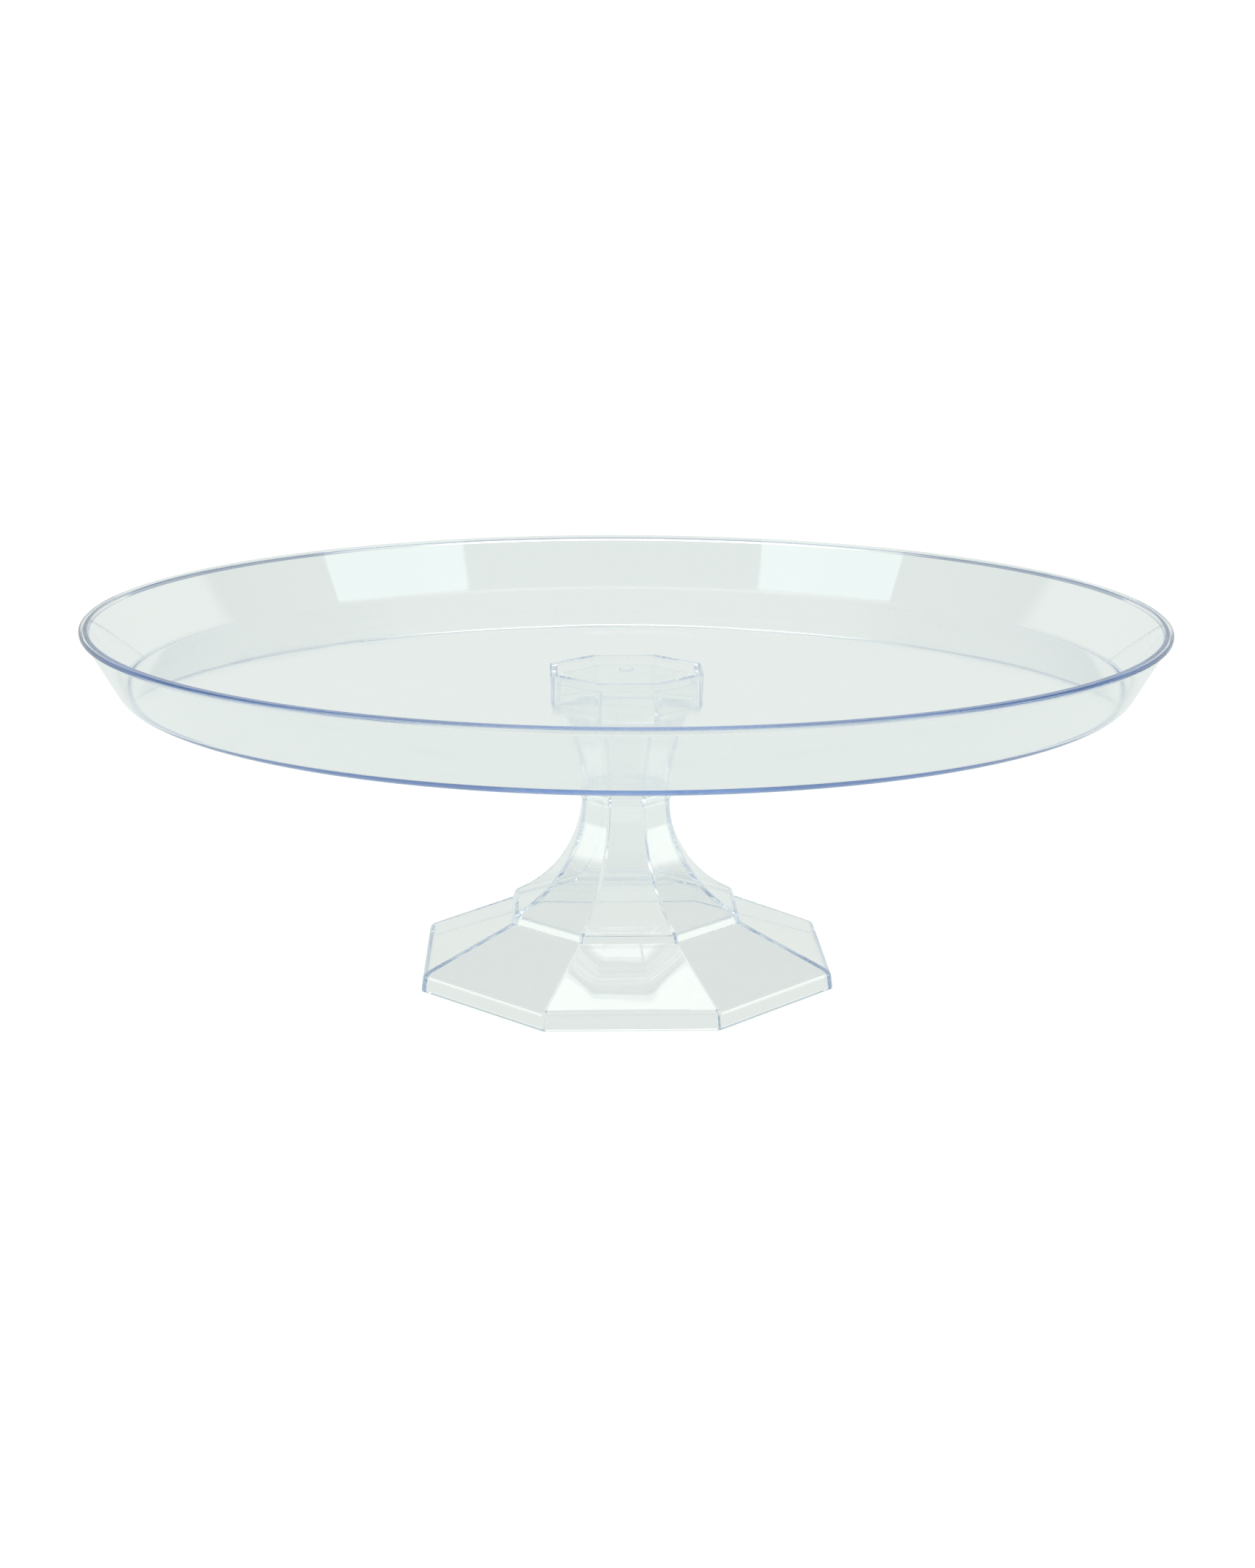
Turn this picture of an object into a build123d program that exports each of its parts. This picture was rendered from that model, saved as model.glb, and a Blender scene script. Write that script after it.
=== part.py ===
from build123d import *
from math import cos, hypot, radians, sin, sqrt
import os

# Two-piece clear plastic cake stand: a round tray that drops over the octagonal head of a
# hollow octagonal pedestal. Millimetres, +Z up. The origin is the centre of the pedestal's
# underside, where the stand rests on the table.

# ---- octagon -------------------------------------------------------------------------------
SIDES = 8
FLAT = cos(radians(180 / SIDES))    # centre-to-flat as a share of centre-to-corner
CORNER_TURN = 180 / SIDES           # puts flats square to X and Y

# ---- heights above the table ---------------------------------------------------------------
SKIRT_TOP = 5.2         # where the upright skirt and the sloping panels would meet
PANEL_TOP = 16.9        # top of the foot's sloping panels
STEP_TOP = 19.3         # top of the small step above the panels
WAIST = 51.2            # crisp lower edge of the bead, where the trumpet is upright
BEAD_TOP = 55.4         # upper edge of the bead
NECK_TOP = 71.7         # top of the flared neck
COLLAR_TOP = 74.6       # top of the upright collar over the neck
SEAT_UNDER = 75.9       # underside of the seat flange
SEAT = 77.4             # face that the tray's socket ring sits on
HEAD_TOP = 84.2         # top of the plug that enters the ring
FLOOR_UNDER = 86.6      # underside of the tray floor
RIM_TOP = 105.4         # top of the tray rim

# ---- pedestal, centre to corner ------------------------------------------------------------
FOOT_R = 63.6           # skirt at the table
SKIRT_R = 62.9          # skirt at its top, after mould draft
PANEL_R = 35.7          # top of the panels
STEP_R = 34.9           # top of the step
WAIST_R = 13.6          # trumpet at the waist
BEAD_R = 14.5           # bead at its widest
NECK_LOW_R = 12.8       # neck just above the bead
NECK_R = 17.6           # neck at its top
COLLAR_R = 18.7         # collar
SEAT_R = 22.9           # seat flange
PLUG_R = 21.1           # plug at the seat
PLUG_TOP_R = 20.8       # plug at its top, after mould draft
PEDESTAL_WALL = 2.0     # skin of the foot and the stem
PLUG_WALL = 1.7         # skin of the plug
TRUMPET_ARC = 36.0      # radius of the trumpet's hollow curve
NECK_ARC = 64.0         # radius of the neck's hollow curve
SKIRT_ROUND = 2.5       # rounding between the skirt and the panels
CORNER_ROUND = 2.0      # rounding along the ridges of the skirt and the panels

# ---- tray ----------------------------------------------------------------------------------
LIP_R = 152.5           # outside of the rim lip, half of 305
LIP_HEIGHT = 2.0        # height of the lip where it leaves the wall
LIP_REACH = 1.3         # how far the lip stands out past the wall
LIP_SLANT = 0.8         # how much the lip's underside rises on its way out
TRAY_BASE_R = 141.8     # where the outside of the wall would meet the underside
TRAY_WALL = 1.9         # thickness of the sloping wall
TRAY_FLOOR = 2.4        # thickness of the floor
TRAY_CORNER = 5.2       # outside radius between wall and floor
FLOOR_INNER_ROUND = 0.4
LIP_INNER_ROUND = 0.35
LIP_OUTER_ROUND = 0.6

# ---- socket ring under the tray, centre to corner --------------------------------------------
RING_R = 23.5           # outside, at the floor
RING_BORE_R = 21.6      # inside, at its mouth
RING_DRAFT = 1.5        # degrees

REACH = 80.0            # half length of the slabs whose overlap makes an octagonal solid


def slab_planes():
    """Upright planes through the axis, one for each pair of opposite flats."""
    turns = [radians(turn) for turn in range(0, 180, 360 // SIDES)]
    return [Plane((0, 0, 0), x_dir=(cos(t), sin(t), 0), z_dir=(sin(t), -cos(t), 0)) for t in turns]


def is_foot_ridge(edge):
    """True for the rising edges between neighbouring flats of the skirt and the panels."""
    low, high = sorted(((edge @ 0).Z, (edge @ 1).Z))
    return high - low > 1 and high < PANEL_TOP + 0.1


os.makedirs("parts", exist_ok=True)

# ---- pedestal, outside ---------------------------------------------------------------------
# The outline is drawn once as a side view, flat to flat. Slabs with that outline, turned in
# 45 degree steps, overlap in the faceted solid, so every flat follows the same curve.
trumpet_foot = (STEP_R * FLAT, STEP_TOP)
trumpet_waist = (WAIST_R * FLAT, WAIST)

with BuildPart() as outside:
    for index, plane in enumerate(slab_planes()):
        with BuildSketch(plane) as side:
            with BuildLine():
                Polyline(
                    (0, 0),
                    (FOOT_R * FLAT, 0),
                    (SKIRT_R * FLAT, SKIRT_TOP),
                    (PANEL_R * FLAT, PANEL_TOP),
                    trumpet_foot,
                )
                RadiusArc(trumpet_foot, trumpet_waist, TRUMPET_ARC)
                Polyline(
                    trumpet_waist,
                    (BEAD_R * FLAT, (WAIST + BEAD_TOP) / 2),
                    (NECK_LOW_R * FLAT, BEAD_TOP),
                )
                RadiusArc((NECK_LOW_R * FLAT, BEAD_TOP), (NECK_R * FLAT, NECK_TOP), NECK_ARC)
                Polyline(
                    (NECK_R * FLAT, NECK_TOP),
                    (COLLAR_R * FLAT, COLLAR_TOP),
                    (SEAT_R * FLAT, SEAT_UNDER),
                    (SEAT_R * FLAT, SEAT),
                    (PLUG_R * FLAT, SEAT),
                    (PLUG_TOP_R * FLAT, HEAD_TOP),
                    (0, HEAD_TOP),
                )
                mirror(about=Plane.YZ)
            make_face()
            for skirt_corner in [(SKIRT_R * FLAT, SKIRT_TOP), (-SKIRT_R * FLAT, SKIRT_TOP)]:
                fillet(side.vertices().sort_by_distance(skirt_corner)[0], SKIRT_ROUND)
        extrude(amount=REACH, both=True, mode=Mode.ADD if index == 0 else Mode.INTERSECT)
    fillet(outside.edges().filter_by(is_foot_ridge), CORNER_ROUND)

# ---- pedestal, inside ------------------------------------------------------------------------
# The hollow runs right through: wide under the foot, narrow at the waist, wider in the head.
slope_run = (SKIRT_R - PANEL_R) * FLAT
slope_rise = PANEL_TOP - SKIRT_TOP
panel_drop = PEDESTAL_WALL * hypot(slope_run, slope_rise) / slope_run
skirt_in = SKIRT_R * FLAT - PEDESTAL_WALL
panel_in = PANEL_R * FLAT - PEDESTAL_WALL
skirt_in_top = SKIRT_TOP - panel_drop + PEDESTAL_WALL * slope_rise / slope_run
panel_in_top = PANEL_TOP - panel_drop + PEDESTAL_WALL * slope_rise / slope_run
trumpet_in_foot = (STEP_R * FLAT - PEDESTAL_WALL, STEP_TOP - 1.5)
trumpet_in_waist = (WAIST_R * FLAT - PEDESTAL_WALL, WAIST)
neck_in_low = (NECK_LOW_R * FLAT - PEDESTAL_WALL, BEAD_TOP)
neck_in_top = (NECK_R * FLAT - PEDESTAL_WALL, NECK_TOP)

with BuildPart() as hollow:
    for index, plane in enumerate(slab_planes()):
        with BuildSketch(plane):
            with BuildLine():
                Polyline(
                    (0, -1),
                    (FOOT_R * FLAT - PEDESTAL_WALL, -1),
                    (skirt_in, skirt_in_top),
                    (panel_in, panel_in_top),
                    trumpet_in_foot,
                )
                RadiusArc(trumpet_in_foot, trumpet_in_waist, TRUMPET_ARC + PEDESTAL_WALL)
                Line(trumpet_in_waist, neck_in_low)
                RadiusArc(neck_in_low, neck_in_top, NECK_ARC + PEDESTAL_WALL)
                Polyline(
                    neck_in_top,
                    (PLUG_R * FLAT - PLUG_WALL, SEAT_UNDER),
                    (PLUG_TOP_R * FLAT - PLUG_WALL, HEAD_TOP + 1),
                    (0, HEAD_TOP + 1),
                )
                mirror(about=Plane.YZ)
            make_face()
        extrude(amount=REACH, both=True, mode=Mode.ADD if index == 0 else Mode.INTERSECT)

# ---- pedestal ----------------------------------------------------------------------------------
with BuildPart() as pedestal:
    add(outside.part)
    add(hollow.part, mode=Mode.SUBTRACT)

pedestal.part.label = "pedestal"
export_step(pedestal.part, "parts/pedestal.step")

# ---- tray --------------------------------------------------------------------------------------
lip_under = RIM_TOP - LIP_HEIGHT
wall_lean = (LIP_R - LIP_REACH - TRAY_BASE_R) / (lip_under - FLOOR_UNDER)
wall_across = TRAY_WALL * sqrt(1 + wall_lean**2)
floor_top = FLOOR_UNDER + TRAY_FLOOR
inner_base_r = TRAY_BASE_R + wall_lean * TRAY_FLOOR - wall_across
inner_rim_r = TRAY_BASE_R + wall_lean * (RIM_TOP - FLOOR_UNDER) - wall_across

with BuildPart() as tray:
    with BuildSketch(Plane.XZ) as section:
        with BuildLine():
            Polyline(
                (0, FLOOR_UNDER),
                (TRAY_BASE_R, FLOOR_UNDER),
                (LIP_R - LIP_REACH, lip_under),
                (LIP_R, lip_under + LIP_SLANT),
                (LIP_R, RIM_TOP),
                (inner_rim_r, RIM_TOP),
                (inner_base_r, floor_top),
                (0, floor_top),
                close=True,
            )
        make_face()
        corners = section.vertices()
        fillet(corners.sort_by_distance((TRAY_BASE_R, FLOOR_UNDER))[0], TRAY_CORNER)
        fillet(corners.sort_by_distance((inner_base_r, floor_top))[0], FLOOR_INNER_ROUND)
        fillet(corners.sort_by_distance((inner_rim_r, RIM_TOP))[0], LIP_INNER_ROUND)
        fillet(corners.sort_by_distance((LIP_R, RIM_TOP))[0], LIP_OUTER_ROUND)
    revolve(axis=Axis.Z)

    # Octagonal socket ring, moulded under the floor. It fits over the pedestal's plug.
    with BuildSketch(Plane.XY.offset(FLOOR_UNDER)):
        RegularPolygon(RING_R, SIDES, rotation=CORNER_TURN)
    extrude(amount=SEAT - FLOOR_UNDER, taper=RING_DRAFT)
    with BuildSketch(Plane.XY.offset(SEAT)):
        RegularPolygon(RING_BORE_R, SIDES, rotation=CORNER_TURN)
    extrude(amount=FLOOR_UNDER - SEAT, taper=RING_DRAFT, mode=Mode.SUBTRACT)

tray.part.label = "tray"
export_step(tray.part, "parts/tray.step")
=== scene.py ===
from math import cos, hypot, pi, radians, sin, sqrt, tan

import bpy
import numpy as np
from mathutils import Matrix, Vector


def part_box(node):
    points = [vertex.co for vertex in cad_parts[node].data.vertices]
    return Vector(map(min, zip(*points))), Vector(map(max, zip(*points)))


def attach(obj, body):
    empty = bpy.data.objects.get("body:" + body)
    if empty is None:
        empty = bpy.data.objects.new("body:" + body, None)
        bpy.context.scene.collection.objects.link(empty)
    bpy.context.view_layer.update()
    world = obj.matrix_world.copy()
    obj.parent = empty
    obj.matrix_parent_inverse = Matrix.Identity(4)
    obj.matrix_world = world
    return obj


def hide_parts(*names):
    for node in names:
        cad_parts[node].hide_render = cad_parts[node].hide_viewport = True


# Clear plastic cake stand, dressed over its two CAD parts: a round tray and a hollow octagonal
# pedestal. Each is one closed moulding, built ring by ring round the upright axis. The outlines
# are in millimetres, and become metres when the mesh is made.

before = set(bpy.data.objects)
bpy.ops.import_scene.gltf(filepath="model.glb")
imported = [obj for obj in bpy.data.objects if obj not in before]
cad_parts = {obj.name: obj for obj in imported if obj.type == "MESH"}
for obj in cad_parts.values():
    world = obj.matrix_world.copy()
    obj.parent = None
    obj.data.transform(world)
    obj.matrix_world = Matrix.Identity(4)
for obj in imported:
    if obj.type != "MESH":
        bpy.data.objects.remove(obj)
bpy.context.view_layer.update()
MM = 0.001

# ---- sizes that the CAD parts give ---------------------------------------------------------------
tray_low, tray_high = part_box("tray")
pedestal_low, pedestal_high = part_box("pedestal")
RIM_TOP = tray_high.z / MM
SEAT = tray_low.z / MM
LIP_R = tray_high.x / MM
HEAD_TOP = pedestal_high.z / MM
FOOT_FLAT = pedestal_high.x / MM

# ---- octagon -------------------------------------------------------------------------------------
SIDES = 8
TURN = 360 / SIDES              # degrees from one ridge to the next
HALF_TURN = TURN / 2            # degrees from the middle of a flat to its ridge
HALF_SIDE = pi / SIDES          # the same in radians
FLAT = cos(HALF_SIDE)           # centre-to-flat as a share of centre-to-corner

# ---- parting line of the two-part mould ----------------------------------------------------------
PARTING_TURNS = (HALF_TURN, HALF_TURN + 180)    # the ridges that carry it, degrees from -Y
PARTING_PROUD = 0.07
PARTING_WIDE = 0.15
PARTING_ON_SKIRT = (0.3, 3.5)                   # heights, clear of the table and the skirt's rounding
PARTING_UNDER_SEAT = 1.0                        # how far below the seat it stops

# ---- fineness of the meshes ----------------------------------------------------------------------
ARC_STEPS = 5                   # edges across each rounding of an outline
RIDGE_STEPS = 10                # edges round each ridge of an octagonal ring
EDGE_SHARE = 0.49               # most of a neighbouring edge that a rounding may take


def ring_points(across, corner, flat_steps, seam):
    """X and Y of one ring of vertices, from -Y towards +X. corner None is a circle; a number is the
    rounding of the eight ridges. flat_steps edges cross each flat, closer together at its ends.
    seam raises the parting line on its two ridges."""
    count = SIDES * (RIDGE_STEPS + flat_steps)
    if corner is None:
        start = HALF_TURN - 180 * RIDGE_STEPS / count
        turn = np.radians(start + 360 / count * np.arange(count))
        return across * np.sin(turn), -across * np.cos(turn)
    reach = (across - corner) / FLAT
    share = (1 - np.cos(pi * np.arange(1, flat_steps) / flat_steps)) / 2
    lean = np.linspace(-HALF_SIDE, HALF_SIDE, RIDGE_STEPS + 1)
    xs, ys = [], []
    for side in range(SIDES):
        ridge = TURN * side + HALF_TURN
        out = np.full(len(lean), corner)
        if seam and ridge in PARTING_TURNS:
            out += PARTING_PROUD * np.exp(-(corner * lean / PARTING_WIDE)**2)
        turn = radians(ridge)
        x = reach * sin(turn) + out * np.sin(turn + lean)
        y = -reach * cos(turn) - out * np.cos(turn + lean)
        following = radians(ridge + TURN)
        flat_end = following - HALF_SIDE
        end_x = reach * sin(following) + corner * sin(flat_end)
        end_y = -reach * cos(following) - corner * cos(flat_end)
        xs.append(np.concatenate([x, x[-1] + share * (end_x - x[-1])]))
        ys.append(np.concatenate([y, y[-1] + share * (end_y - y[-1])]))
    return np.concatenate(xs), np.concatenate(ys)


# ---- outlines ------------------------------------------------------------------------------------
def bow(start, end, radius, steps, corner, first=1):
    """Points between start and end on an arc that is hollow on its outer side. A later first
    point leaves room to round the corner at start."""
    p, q = Vector(start), Vector(end)
    run = q - p
    side = Vector((run.y, -run.x)).normalized()
    centre = (p + q) / 2 + side * sqrt(radius**2 - (run.length / 2)**2)
    a, b = p - centre, q - centre
    sweep = a.angle_signed(b)
    points = []
    for k in range(first, steps):
        turned = Matrix.Rotation(-sweep * k / steps, 2) @ a
        points.append((centre.x + turned.x, centre.y + turned.y, 0, corner))
    return points


def rounded(points):
    """Turns (across, height, rounding, corner) points into (across, height, corner) rings."""
    rings = []
    for i, (x, z, rounding, corner) in enumerate(points):
        if not rounding:
            rings.append((x, z, corner))
            continue
        here = Vector((x, z))
        before = Vector(points[i - 1][:2]) - here
        after = Vector(points[(i + 1) % len(points)][:2]) - here
        half = before.angle(after) / 2
        back = min(rounding / tan(half), EDGE_SHARE * before.length, EDGE_SHARE * after.length)
        rounding = back * tan(half)
        inward = (before.normalized() + after.normalized()).normalized()
        centre = here + inward * rounding / sin(half)
        start = here + before.normalized() * back - centre
        end = here + after.normalized() * back - centre
        sweep = start.angle_signed(end)
        for k in range(ARC_STEPS + 1):
            spoke = Matrix.Rotation(-sweep * k / ARC_STEPS, 2) @ start
            rings.append((centre.x + spoke.x, centre.y + spoke.y, corner))
    return rings


# ---- meshes --------------------------------------------------------------------------------------
def moulding(name, rings, flat_steps, fans=False, seam=None):
    """One closed mesh: rings of vertices joined in order. fans closes both ends at the axis;
    otherwise the last ring joins the first. seam says which rings carry the parting line."""
    count = SIDES * (RIDGE_STEPS + flat_steps)
    vertices = []
    for across, height, corner in rings:
        parted = seam is not None and seam(height, corner)
        x, y = ring_points(across, corner, flat_steps, parted)
        vertices.append(np.stack([x, y, np.full(count, height)], 1))
    vertices = np.concatenate(vertices)
    faces = []
    joins = len(rings) - 1 if fans else len(rings)
    for i in range(joins):
        a, b = i * count, ((i + 1) % len(rings)) * count
        for k in range(count):
            following = (k + 1) % count
            faces.append((a + k, a + following, b + following, b + k))
    if fans:
        first, last = len(vertices), len(vertices) + 1
        ends = np.array([[0, 0, rings[0][1]], [0, 0, rings[-1][1]]])
        vertices = np.concatenate([vertices, ends])
        base = (len(rings) - 1) * count
        for k in range(count):
            following = (k + 1) % count
            faces.append((first, following, k))
            faces.append((last, base + k, base + following))
    mesh = bpy.data.meshes.new(name)
    mesh.from_pydata((vertices * MM).tolist(), [], faces)
    mesh.update()
    if signed_volume(mesh) < 0:
        mesh.flip_normals()
    shade_by_area(mesh)
    piece = bpy.data.objects.new(name, mesh)
    bpy.context.scene.collection.objects.link(piece)
    return piece


def signed_volume(mesh):
    """Volume inside the mesh, below zero where its faces point inwards."""
    mesh.calc_loop_triangles()
    co = np.array([v.co for v in mesh.vertices])
    corners = co[np.array([t.vertices for t in mesh.loop_triangles])]
    return np.einsum("ij,ij->i", corners[:, 0], np.cross(corners[:, 1], corners[:, 2])).sum() / 6


def shade_by_area(mesh):
    """Smooth shading whose normals lean to the larger faces, so flats stay flat beside fine rounds."""
    mesh.polygons.foreach_set("use_smooth", np.ones(len(mesh.polygons), bool))
    normals = np.zeros((len(mesh.vertices), 3))
    for face in mesh.polygons:
        normals[list(face.vertices)] += np.array(face.normal) * face.area
    normals /= np.maximum(np.linalg.norm(normals, axis=1, keepdims=True), 1e-12)
    mesh.normals_split_custom_set_from_vertices(normals.tolist())


# ---- pedestal sizes: radii from centre to corner, and heights above the table --------------------
SKIRT_R, SKIRT_TOP = 62.9, 5.2
PANEL_R, PANEL_TOP = 35.7, 16.9
STEP_R, STEP_TOP = 34.9, 19.3
WAIST_R, WAIST = 13.6, 51.2
BEAD_R, BEAD = 14.5, 53.3
NECK_LOW_R, NECK_LOW = 12.8, 55.4
NECK_R, NECK_TOP = 17.6, 71.7
COLLAR_R, COLLAR_TOP = 18.7, 74.6
SEAT_R, SEAT_UNDER = 22.9, 75.9
PLUG_R, PLUG_TOP_R = 21.1, 20.8

TRUMPET_ARC, TRUMPET_STEPS = 36, 72     # radius of the trumpet's hollow curve, and its edges
NECK_ARC, NECK_STEPS = 64, 28           # the same for the neck
ROUNDED_STEPS = 5                       # edges of the trumpet that its foot's rounding takes
WALL = 2.0                              # skin of the foot and the stem
PLUG_WALL = 1.7                         # skin of the plug
STEP_DROP = 1.5                         # from the step's top to the corner of the hollow under it

RIDGE = 1.5             # rounding of the stem's ridges
SOFT_RIDGE = 2.0        # rounding of the foot's ridges
CORE_RIDGE = 0.6        # rounding of the ridges inside

# ---- pedestal outline, centre to flat: up the outside, then down the inside ----------------------
# Each point is its distance from the axis, its height, and the roundings of the outline and of the
# ridges there.
skirt = (SKIRT_R * FLAT, SKIRT_TOP)
panel = (PANEL_R * FLAT, PANEL_TOP)
step_foot = (STEP_R * FLAT, STEP_TOP)
waist = (WAIST_R * FLAT, WAIST)
neck_low = (NECK_LOW_R * FLAT, NECK_LOW)
neck_top = (NECK_R * FLAT, NECK_TOP)

slope = Vector((skirt[0] - panel[0], panel[1] - skirt[1]))
drop = WALL * slope.length / slope.x
skirt_in = (skirt[0] - WALL, skirt[1] - drop + WALL * slope.y / slope.x)
panel_in = (panel[0] - WALL, panel[1] - drop + WALL * slope.y / slope.x)
step_in = (step_foot[0] - WALL, step_foot[1] - STEP_DROP)
waist_in = (waist[0] - WALL, waist[1])
neck_low_in = (neck_low[0] - WALL, neck_low[1])
neck_top_in = (neck_top[0] - WALL, neck_top[1])

pedestal_outline = [
    (FOOT_FLAT, 0, 0.45, SOFT_RIDGE),
    (*skirt, 2.5, SOFT_RIDGE),
    (*panel, 0.6, RIDGE),
    (*step_foot, 2.0, RIDGE),
    *bow(step_foot, waist, TRUMPET_ARC, TRUMPET_STEPS, RIDGE, first=ROUNDED_STEPS),
    (*waist, 0.12, RIDGE),
    (BEAD_R * FLAT, BEAD, 1.2, RIDGE),
    (*neck_low, 0.5, RIDGE),
    *bow(neck_low, neck_top, NECK_ARC, NECK_STEPS, RIDGE),
    (*neck_top, 0.2, RIDGE),
    (COLLAR_R * FLAT, COLLAR_TOP, 0.25, RIDGE),
    (SEAT_R * FLAT, SEAT_UNDER, 0.15, RIDGE),
    (SEAT_R * FLAT, SEAT, 0.15, RIDGE),
    (PLUG_R * FLAT, SEAT, 0.2, RIDGE),
    (PLUG_TOP_R * FLAT, HEAD_TOP, 0.3, RIDGE),
    (PLUG_TOP_R * FLAT - PLUG_WALL, HEAD_TOP, 0.3, CORE_RIDGE),
    (PLUG_R * FLAT - PLUG_WALL, SEAT_UNDER, 0.4, CORE_RIDGE),
    (*neck_top_in, 0.6, CORE_RIDGE),
    *reversed(bow(neck_low_in, neck_top_in, NECK_ARC + WALL, NECK_STEPS, CORE_RIDGE)),
    (*neck_low_in, 0, CORE_RIDGE),
    *reversed(bow(step_in, waist_in, TRUMPET_ARC + WALL, TRUMPET_STEPS, CORE_RIDGE)),
    (*step_in, 0.4, CORE_RIDGE),
    (*panel_in, 0.4, CORE_RIDGE),
    (*skirt_in, 1.0, CORE_RIDGE),
    (FOOT_FLAT - WALL, 0, 0.25, CORE_RIDGE),
]


def on_parting(height, corner):
    """True on the rings of the skirt and the stem that carry the parting line."""
    low, high = PARTING_ON_SKIRT
    on_skirt = corner == SOFT_RIDGE and low < height < high
    on_stem = corner == RIDGE and PANEL_TOP < height < SEAT - PARTING_UNDER_SEAT
    return on_skirt or on_stem


# ---- tray sizes ----------------------------------------------------------------------------------
FLOOR_UNDER = 86.6      # underside of the floor
FLOOR = 2.4             # thickness of the floor
BASE_R = 141.8          # where the outside of the wall would meet the underside
TRAY_WALL = 1.9         # thickness of the sloping wall
LIP_HEIGHT = 2.0        # height of the lip where it leaves the wall
LIP_REACH = 1.3         # how far the lip stands out past the wall
LIP_SLANT = 0.8         # how much the lip's underside rises on its way out
RING_R = 23.5           # socket ring, outside, centre to corner
RING_BORE_R = 21.6      # socket ring, inside, centre to corner
RING_DRAFT = 1.5        # degrees
RING_RIDGE = 2.0        # rounding of the ring's ridges
GATE_R = 2.0            # nub of the injection gate
GATE_DEPTH = 0.35
AIR = 0.05              # keeps the two clear mouldings from sharing one surface at the seat

# ---- tray outline: from the middle of the floor over the rim to the middle underneath ------------
# The points are as the pedestal's. A ridge rounding of None makes the ring a circle.
floor_top = FLOOR_UNDER + FLOOR
lip_under = RIM_TOP - LIP_HEIGHT
lean = (LIP_R - LIP_REACH - BASE_R) / (lip_under - FLOOR_UNDER)
wall_across = TRAY_WALL * hypot(1, lean)
inner_base = BASE_R + lean * FLOOR - wall_across
inner_rim = BASE_R + lean * (RIM_TOP - FLOOR_UNDER) - wall_across
draft = tan(radians(RING_DRAFT)) * (FLOOR_UNDER - SEAT)

tray_outline = [
    *[(across, floor_top, 0, None) for across in (4, 40, 90)],
    (inner_base, floor_top, 0.4, None),
    (inner_rim, RIM_TOP, 0.35, None),
    (LIP_R, RIM_TOP, 0.6, None),
    (LIP_R, lip_under + LIP_SLANT, 0.4, None),
    (LIP_R - LIP_REACH, lip_under, 0.35, None),
    (BASE_R, FLOOR_UNDER, 5.2, None),
    (60, FLOOR_UNDER, 0, None),
    (RING_R * FLAT, FLOOR_UNDER, 0.1, RING_RIDGE),
    (RING_R * FLAT - draft, SEAT + AIR, 0.2, RING_RIDGE),
    (RING_BORE_R * FLAT, SEAT + AIR, 0.2, RING_RIDGE),
    (RING_BORE_R * FLAT - draft, FLOOR_UNDER, 0.1, RING_RIDGE),
    (GATE_R, FLOOR_UNDER, 0.1, None),
    (0.9 * GATE_R, FLOOR_UNDER - GATE_DEPTH, 0.1, None),
    (0.5 * GATE_R, FLOOR_UNDER - GATE_DEPTH, 0, None),
]

tray_piece = moulding("tray_moulding", rounded(tray_outline), flat_steps=34, fans=True)
pedestal_piece = moulding("pedestal_moulding", rounded(pedestal_outline), flat_steps=16,
                          seam=on_parting)


# ---- node trees ----------------------------------------------------------------------------------
class Nodes:
    """Short calls for building a node tree."""

    def __init__(self, tree):
        self.tree = tree
        tree.nodes.clear()

    def add(self, kind, inputs=None, **settings):
        node = self.tree.nodes.new(kind)
        for key, value in settings.items():
            setattr(node, key, value)
        for key, value in (inputs or {}).items():
            if isinstance(value, bpy.types.NodeSocket):
                self.tree.links.new(value, node.inputs[key])
            else:
                node.inputs[key].default_value = value
        return node

    def maths(self, operation, *values):
        return self.add("ShaderNodeMath", dict(enumerate(values)), operation=operation).outputs[0]

    def span(self, value, low, high, to_low, to_high):
        return self.add("ShaderNodeMapRange", {"Value": value, "From Min": low, "From Max": high,
                                               "To Min": to_low, "To Max": to_high}).outputs[0]


# ---- clear plastic -------------------------------------------------------------------------------
POLYSTYRENE_IOR = 1.59
DYE_BLUE = (0.06, 0.36, 0.78, 1)                            # what the depth of the plastic lets through
TINT = ((0.975, 0.985, 0.985, 1), (0.985, 0.992, 0.992, 1))
SCUFF_LAYERS = ((0.5, 900.0), (2.1, 1150.0))                # direction in radians, closeness


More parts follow.
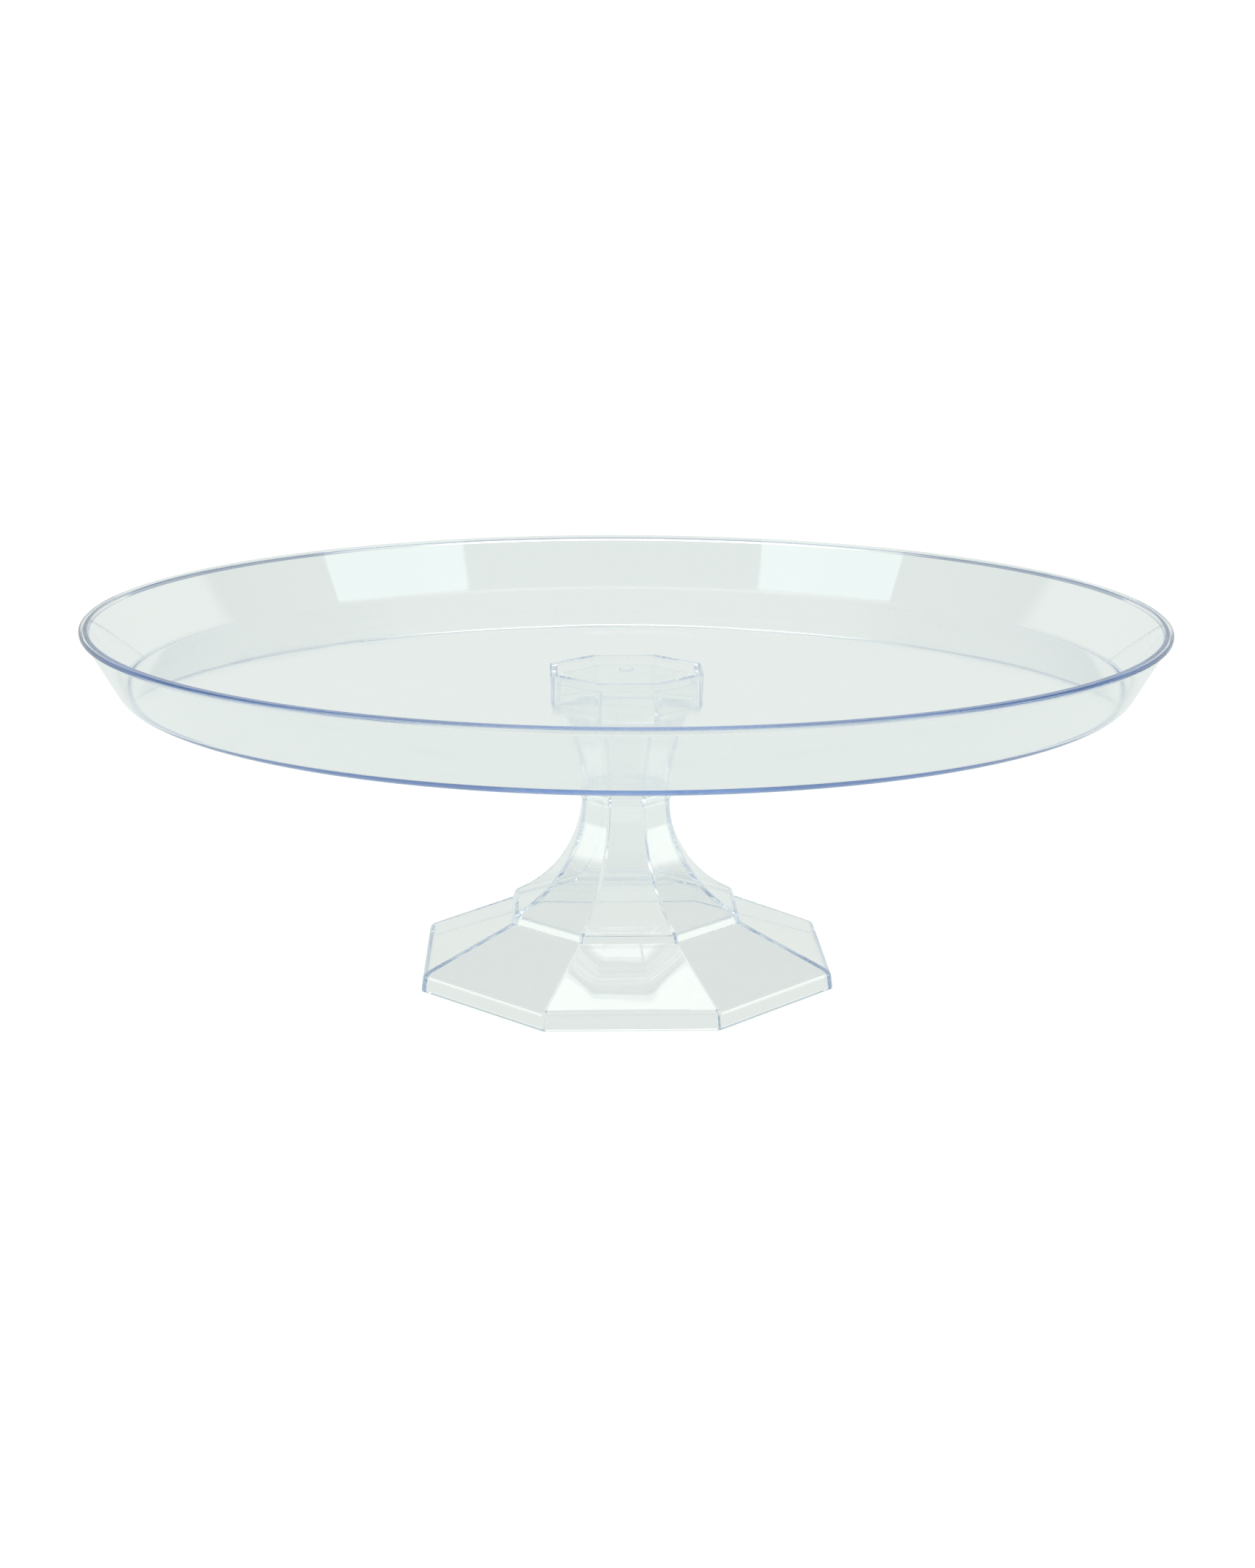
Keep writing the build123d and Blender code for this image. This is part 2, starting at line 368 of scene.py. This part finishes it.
def clear_plastic(name, waves, scuffing, depth):
    """Clear polystyrene: faint flow waves, fine scuffs and a slightly uneven polish. waves is how
    close the waves lie, scuffing how much duller the scuffs are, and depth how strong the blue is."""
    material = bpy.data.materials.new(name)
    material.use_nodes = True
    n = Nodes(material.node_tree)
    place = n.add("ShaderNodeTexCoord").outputs["Object"]
    apart = n.add("ShaderNodeSeparateXYZ", {0: place})
    out_from_axis = n.maths("SQRT", n.maths("ADD", n.maths("POWER", apart.outputs["X"], 2.0),
                                            n.maths("POWER", apart.outputs["Y"], 2.0)))

    # Slow waves left by the plastic as it flowed out from the gate, bent out of round by noise.
    flow = n.add("ShaderNodeTexNoise", {"Vector": place, "Scale": 22.0, "Detail": 1.5, "Roughness": 0.4})
    bend = n.maths("MULTIPLY", flow.outputs["Fac"], 9.0)
    ripple = n.maths("SINE", n.maths("ADD", n.maths("MULTIPLY", out_from_axis, waves), bend))

    # Hairline scuffs from handling, in two directions.
    scuffs = 0.0
    for turn, closeness in SCUFF_LAYERS:
        laid = n.add("ShaderNodeMapping", {"Vector": place, "Rotation": (0.3, 0.2, turn),
                                           "Scale": (closeness, 9.0, 60.0)})
        grain = n.add("ShaderNodeTexNoise", {"Vector": laid.outputs[0], "Scale": 1.0, "Detail": 2.0})
        scuffs = n.maths("ADD", scuffs, n.span(grain.outputs["Fac"], 0.68, 0.76, 0.0, 1.0))

    height = n.maths("ADD", n.maths("MULTIPLY", ripple, 0.25), flow.outputs["Fac"])
    height = n.maths("ADD", height, n.maths("MULTIPLY", scuffs, 0.02))
    bump = n.add("ShaderNodeBump", {"Height": height, "Strength": 0.35, "Distance": 0.00006})

    # Polish: glossy, a little duller in soft patches and along the scuffs.
    patches = n.add("ShaderNodeTexNoise", {"Vector": place, "Scale": 45.0, "Detail": 3.0})
    polish = n.maths("ADD", n.span(patches.outputs["Fac"], 0.35, 0.75, 0.010, 0.045),
                     n.maths("MULTIPLY", scuffs, scuffing))

    # Colour: the plastic is a touch cooler in slow clouds.
    clouds = n.add("ShaderNodeTexNoise", {"Vector": place, "Scale": 14.0, "Detail": 2.0})
    colour = n.add("ShaderNodeMix", {"Factor": clouds.outputs["Fac"], "A": TINT[0], "B": TINT[1]},
                   data_type="RGBA")
    shader = n.add("ShaderNodeBsdfPrincipled", {
        "Base Color": colour.outputs[2], "Roughness": polish, "IOR": POLYSTYRENE_IOR,
        "Transmission Weight": 1.0, "Normal": bump.outputs[0]})
    dye = n.add("ShaderNodeVolumeAbsorption", {"Color": DYE_BLUE, "Density": depth})
    n.add("ShaderNodeOutputMaterial", {"Surface": shader.outputs[0], "Volume": dye.outputs[0]})
    return material


tray_piece.data.materials.append(clear_plastic("clear_tray_plastic", 300.0, 0.03, 6.0))
pedestal_piece.data.materials.append(clear_plastic("clear_pedestal_plastic", 500.0, 0.02, 2.8))

for piece, node in ((tray_piece, "tray"), (pedestal_piece, "pedestal")):
    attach(piece, node)
    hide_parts(node)

# ---- floor ---------------------------------------------------------------------------------------
STUDIO_WHITE = (0.955, 1.0, 0.962)      # the faint cast of the paper, seen through the plastic
PAPER = (0.12, 0.126, 0.121, 1)         # the part of the paper that takes the lights and shadows
PAPER_GLOW = 0.783                      # how bright the plastic sees the paper
SEEN_GLOW = 1.0                         # how bright the camera sees it
HALF_FLOOR = 30.0
FLOOR_GAP = 0.0002                      # keeps the paper clear of the foot


def floor_material():
    """Lit paper. The camera sees it over-exposed to plain white, as in a cut-out product shot."""
    material = bpy.data.materials.new("studio_floor")
    material.use_nodes = True
    n = Nodes(material.node_tree)
    seen = n.add("ShaderNodeLightPath").outputs["Is Camera Ray"]
    matt = n.add("ShaderNodeBsdfDiffuse", {"Color": PAPER})
    glow = n.add("ShaderNodeEmission", {"Color": (*STUDIO_WHITE, 1),
                                        "Strength": n.span(seen, 0, 1, PAPER_GLOW, SEEN_GLOW)})
    paper = n.add("ShaderNodeAddShader", {0: matt.outputs[0], 1: glow.outputs[0]})
    n.add("ShaderNodeOutputMaterial", {"Surface": paper.outputs[0]})
    return material


floor_mesh = bpy.data.meshes.new("studio_floor")
floor_mesh.from_pydata([(-HALF_FLOOR, -HALF_FLOOR, 0), (HALF_FLOOR, -HALF_FLOOR, 0),
                        (HALF_FLOOR, HALF_FLOOR, 0), (-HALF_FLOOR, HALF_FLOOR, 0)], [], [(0, 1, 2, 3)])
floor_mesh.materials.append(floor_material())
floor = bpy.data.objects.new("studio_floor", floor_mesh)
floor.location.z = -FLOOR_GAP
bpy.context.scene.collection.objects.link(floor)

# ---- studio surround -----------------------------------------------------------------------------
# How bright the plastic sees each part of the surround. The camera sees it all as plain white.
HIGH_SURROUND = 0.45
SIDES_OF_ROOM = 0.30
LOW_SURROUND = 0.62
LOW_BACK = 0.84                         # low down on the far half
SIDE_LIGHTS = 2.2                       # low and narrow, square to the stand's left and right
CEILING = 0.8
OVERHEAD_LIGHT = 2.6                    # on the far half of the ceiling
BACKDROP = 1.1
SHADE_BLUE = (0.84, 0.97, 1.13, 1)      # cool cast of the dimmer parts

world = bpy.data.worlds.new("studio")
bpy.context.scene.world = world
world.use_nodes = True
n = Nodes(world.node_tree)
way = n.add("ShaderNodeSeparateXYZ", {0: n.add("ShaderNodeTexCoord").outputs["Generated"]})
across, along, up = way.outputs["X"], way.outputs["Y"], way.outputs["Z"]
sideways, lengthways = n.maths("ABSOLUTE", across), n.maths("ABSOLUTE", along)


def ramp(value, start, end):
    """0 before start, 1 after end, smooth between them."""
    node = n.add("ShaderNodeMapRange", {"Value": value, "From Min": start, "From Max": end},
                 interpolation_type="SMOOTHSTEP")
    return node.outputs[0]


def both(mask, other):
    """1 where both masks are 1."""
    return n.maths("MULTIPLY", mask, other)


def lit(brightness, mask, amount):
    """Moves the brightness towards amount where mask is 1."""
    node = n.add("ShaderNodeMix", {"Factor": mask, "A": brightness, "B": amount}, data_type="FLOAT")
    return node.outputs[0]


low = ramp(up, 0.45, 0.41)
high = ramp(up, 0.80, 0.86)
abeam = both(ramp(sideways, 0.88, 0.94), ramp(lengthways, 0.18, 0.10))
far_strip = both(ramp(sideways, 0.26, 0.16), ramp(along, 0.15, 0.25))

brightness = lit(HIGH_SURROUND, ramp(sideways, 0.55, 0.68), SIDES_OF_ROOM)
brightness = lit(brightness, both(ramp(sideways, 0.90, 0.78), low), LOW_SURROUND)
brightness = lit(brightness, both(ramp(along, -0.15, 0.0), low), LOW_BACK)
brightness = lit(brightness, both(abeam, ramp(up, 0.45, 0.35)), SIDE_LIGHTS)
brightness = lit(brightness, high, CEILING)
brightness = lit(brightness, both(high, far_strip), OVERHEAD_LIGHT)

cast = n.add("ShaderNodeMix", {"Factor": ramp(brightness, HIGH_SURROUND, LOW_BACK),
                               "A": SHADE_BLUE, "B": (*STUDIO_WHITE, 1)}, data_type="RGBA")
surround = n.add("ShaderNodeBackground", {"Color": cast.outputs[2], "Strength": brightness})
backdrop = n.add("ShaderNodeBackground", {"Color": (1, 1, 1, 1), "Strength": BACKDROP})
seen = n.add("ShaderNodeLightPath").outputs["Is Camera Ray"]
mixed = n.add("ShaderNodeMixShader", {0: seen, 1: surround.outputs[0], 2: backdrop.outputs[0]})
n.add("ShaderNodeOutputWorld", {"Surface": mixed.outputs[0]})

# ---- lights --------------------------------------------------------------------------------------
SOFTBOX_DISTANCE = 1.6
SOFTBOX_ELEVATION = radians(44)
SOFTBOX_WIDTH, SOFTBOX_HEIGHT = 0.80, 0.7
SOFTBOX_RADIANCE = 1.3
SOFTBOX_COLOUR = (0.82, 1.0, 0.99)


def softbox(name, azimuth):
    """A rectangular light that faces the tray. Azimuth is in degrees from -Y towards +X."""
    a, e = radians(azimuth), SOFTBOX_ELEVATION
    aim = Vector((0, 0, RIM_TOP * MM))
    place = aim + SOFTBOX_DISTANCE * Vector((sin(a) * cos(e), -cos(a) * cos(e), sin(e)))
    light = bpy.data.lights.new(name, "AREA")
    light.shape = "RECTANGLE"
    light.size, light.size_y = SOFTBOX_WIDTH, SOFTBOX_HEIGHT
    light.color = SOFTBOX_COLOUR
    light.energy = SOFTBOX_RADIANCE * pi * SOFTBOX_WIDTH * SOFTBOX_HEIGHT
    lamp = bpy.data.objects.new(name, light)
    lamp.location = place
    lamp.rotation_euler = (aim - place).to_track_quat("-Z", "Y").to_euler()
    lamp.visible_camera = False
    bpy.context.scene.collection.objects.link(lamp)


softbox("softbox_left", -67.5)
softbox("softbox_right", 71.5)

# ---- camera --------------------------------------------------------------------------------------
CAMERA_TURN = radians(1.948)            # how far the camera has gone round the stand
CAMERA_PITCH = radians(14.01)           # how far it looks down
CAMERA_ROLL = radians(0.249)
CAMERA_DISTANCE = 0.6841                # level distance from the stand's axis
CAMERA_HEIGHT = 0.2254

forward = Vector((
    sin(CAMERA_TURN) * cos(CAMERA_PITCH),
    cos(CAMERA_TURN) * cos(CAMERA_PITCH),
    -sin(CAMERA_PITCH),
))
rightward = Vector((cos(CAMERA_TURN), -sin(CAMERA_TURN), 0))
upward = rightward.cross(forward)
right = cos(CAMERA_ROLL) * rightward + sin(CAMERA_ROLL) * upward
top = cos(CAMERA_ROLL) * upward - sin(CAMERA_ROLL) * rightward
turned = Matrix((right, top, -forward)).transposed().to_4x4()
stand = Vector((
    -CAMERA_DISTANCE * sin(CAMERA_TURN),
    -CAMERA_DISTANCE * cos(CAMERA_TURN),
    CAMERA_HEIGHT,
))

camera_data = bpy.data.cameras.new("camera")
camera_data.sensor_width = 36
camera_data.lens = 55.85
camera_data.shift_x = 0.0012
camera_data.clip_start, camera_data.clip_end = 0.01, 100
camera = bpy.data.objects.new("camera", camera_data)
camera.matrix_world = Matrix.Translation(stand) @ turned
bpy.context.scene.collection.objects.link(camera)
bpy.context.scene.camera = camera
bpy.context.scene.view_settings.view_transform = "Standard"

# Light that runs round inside the rim and the ridges needs many steps before it comes out.
BOUNCES = 96
cycles = bpy.context.scene.cycles
cycles.max_bounces, cycles.transmission_bounces, cycles.glossy_bounces = BOUNCES, BOUNCES, BOUNCES
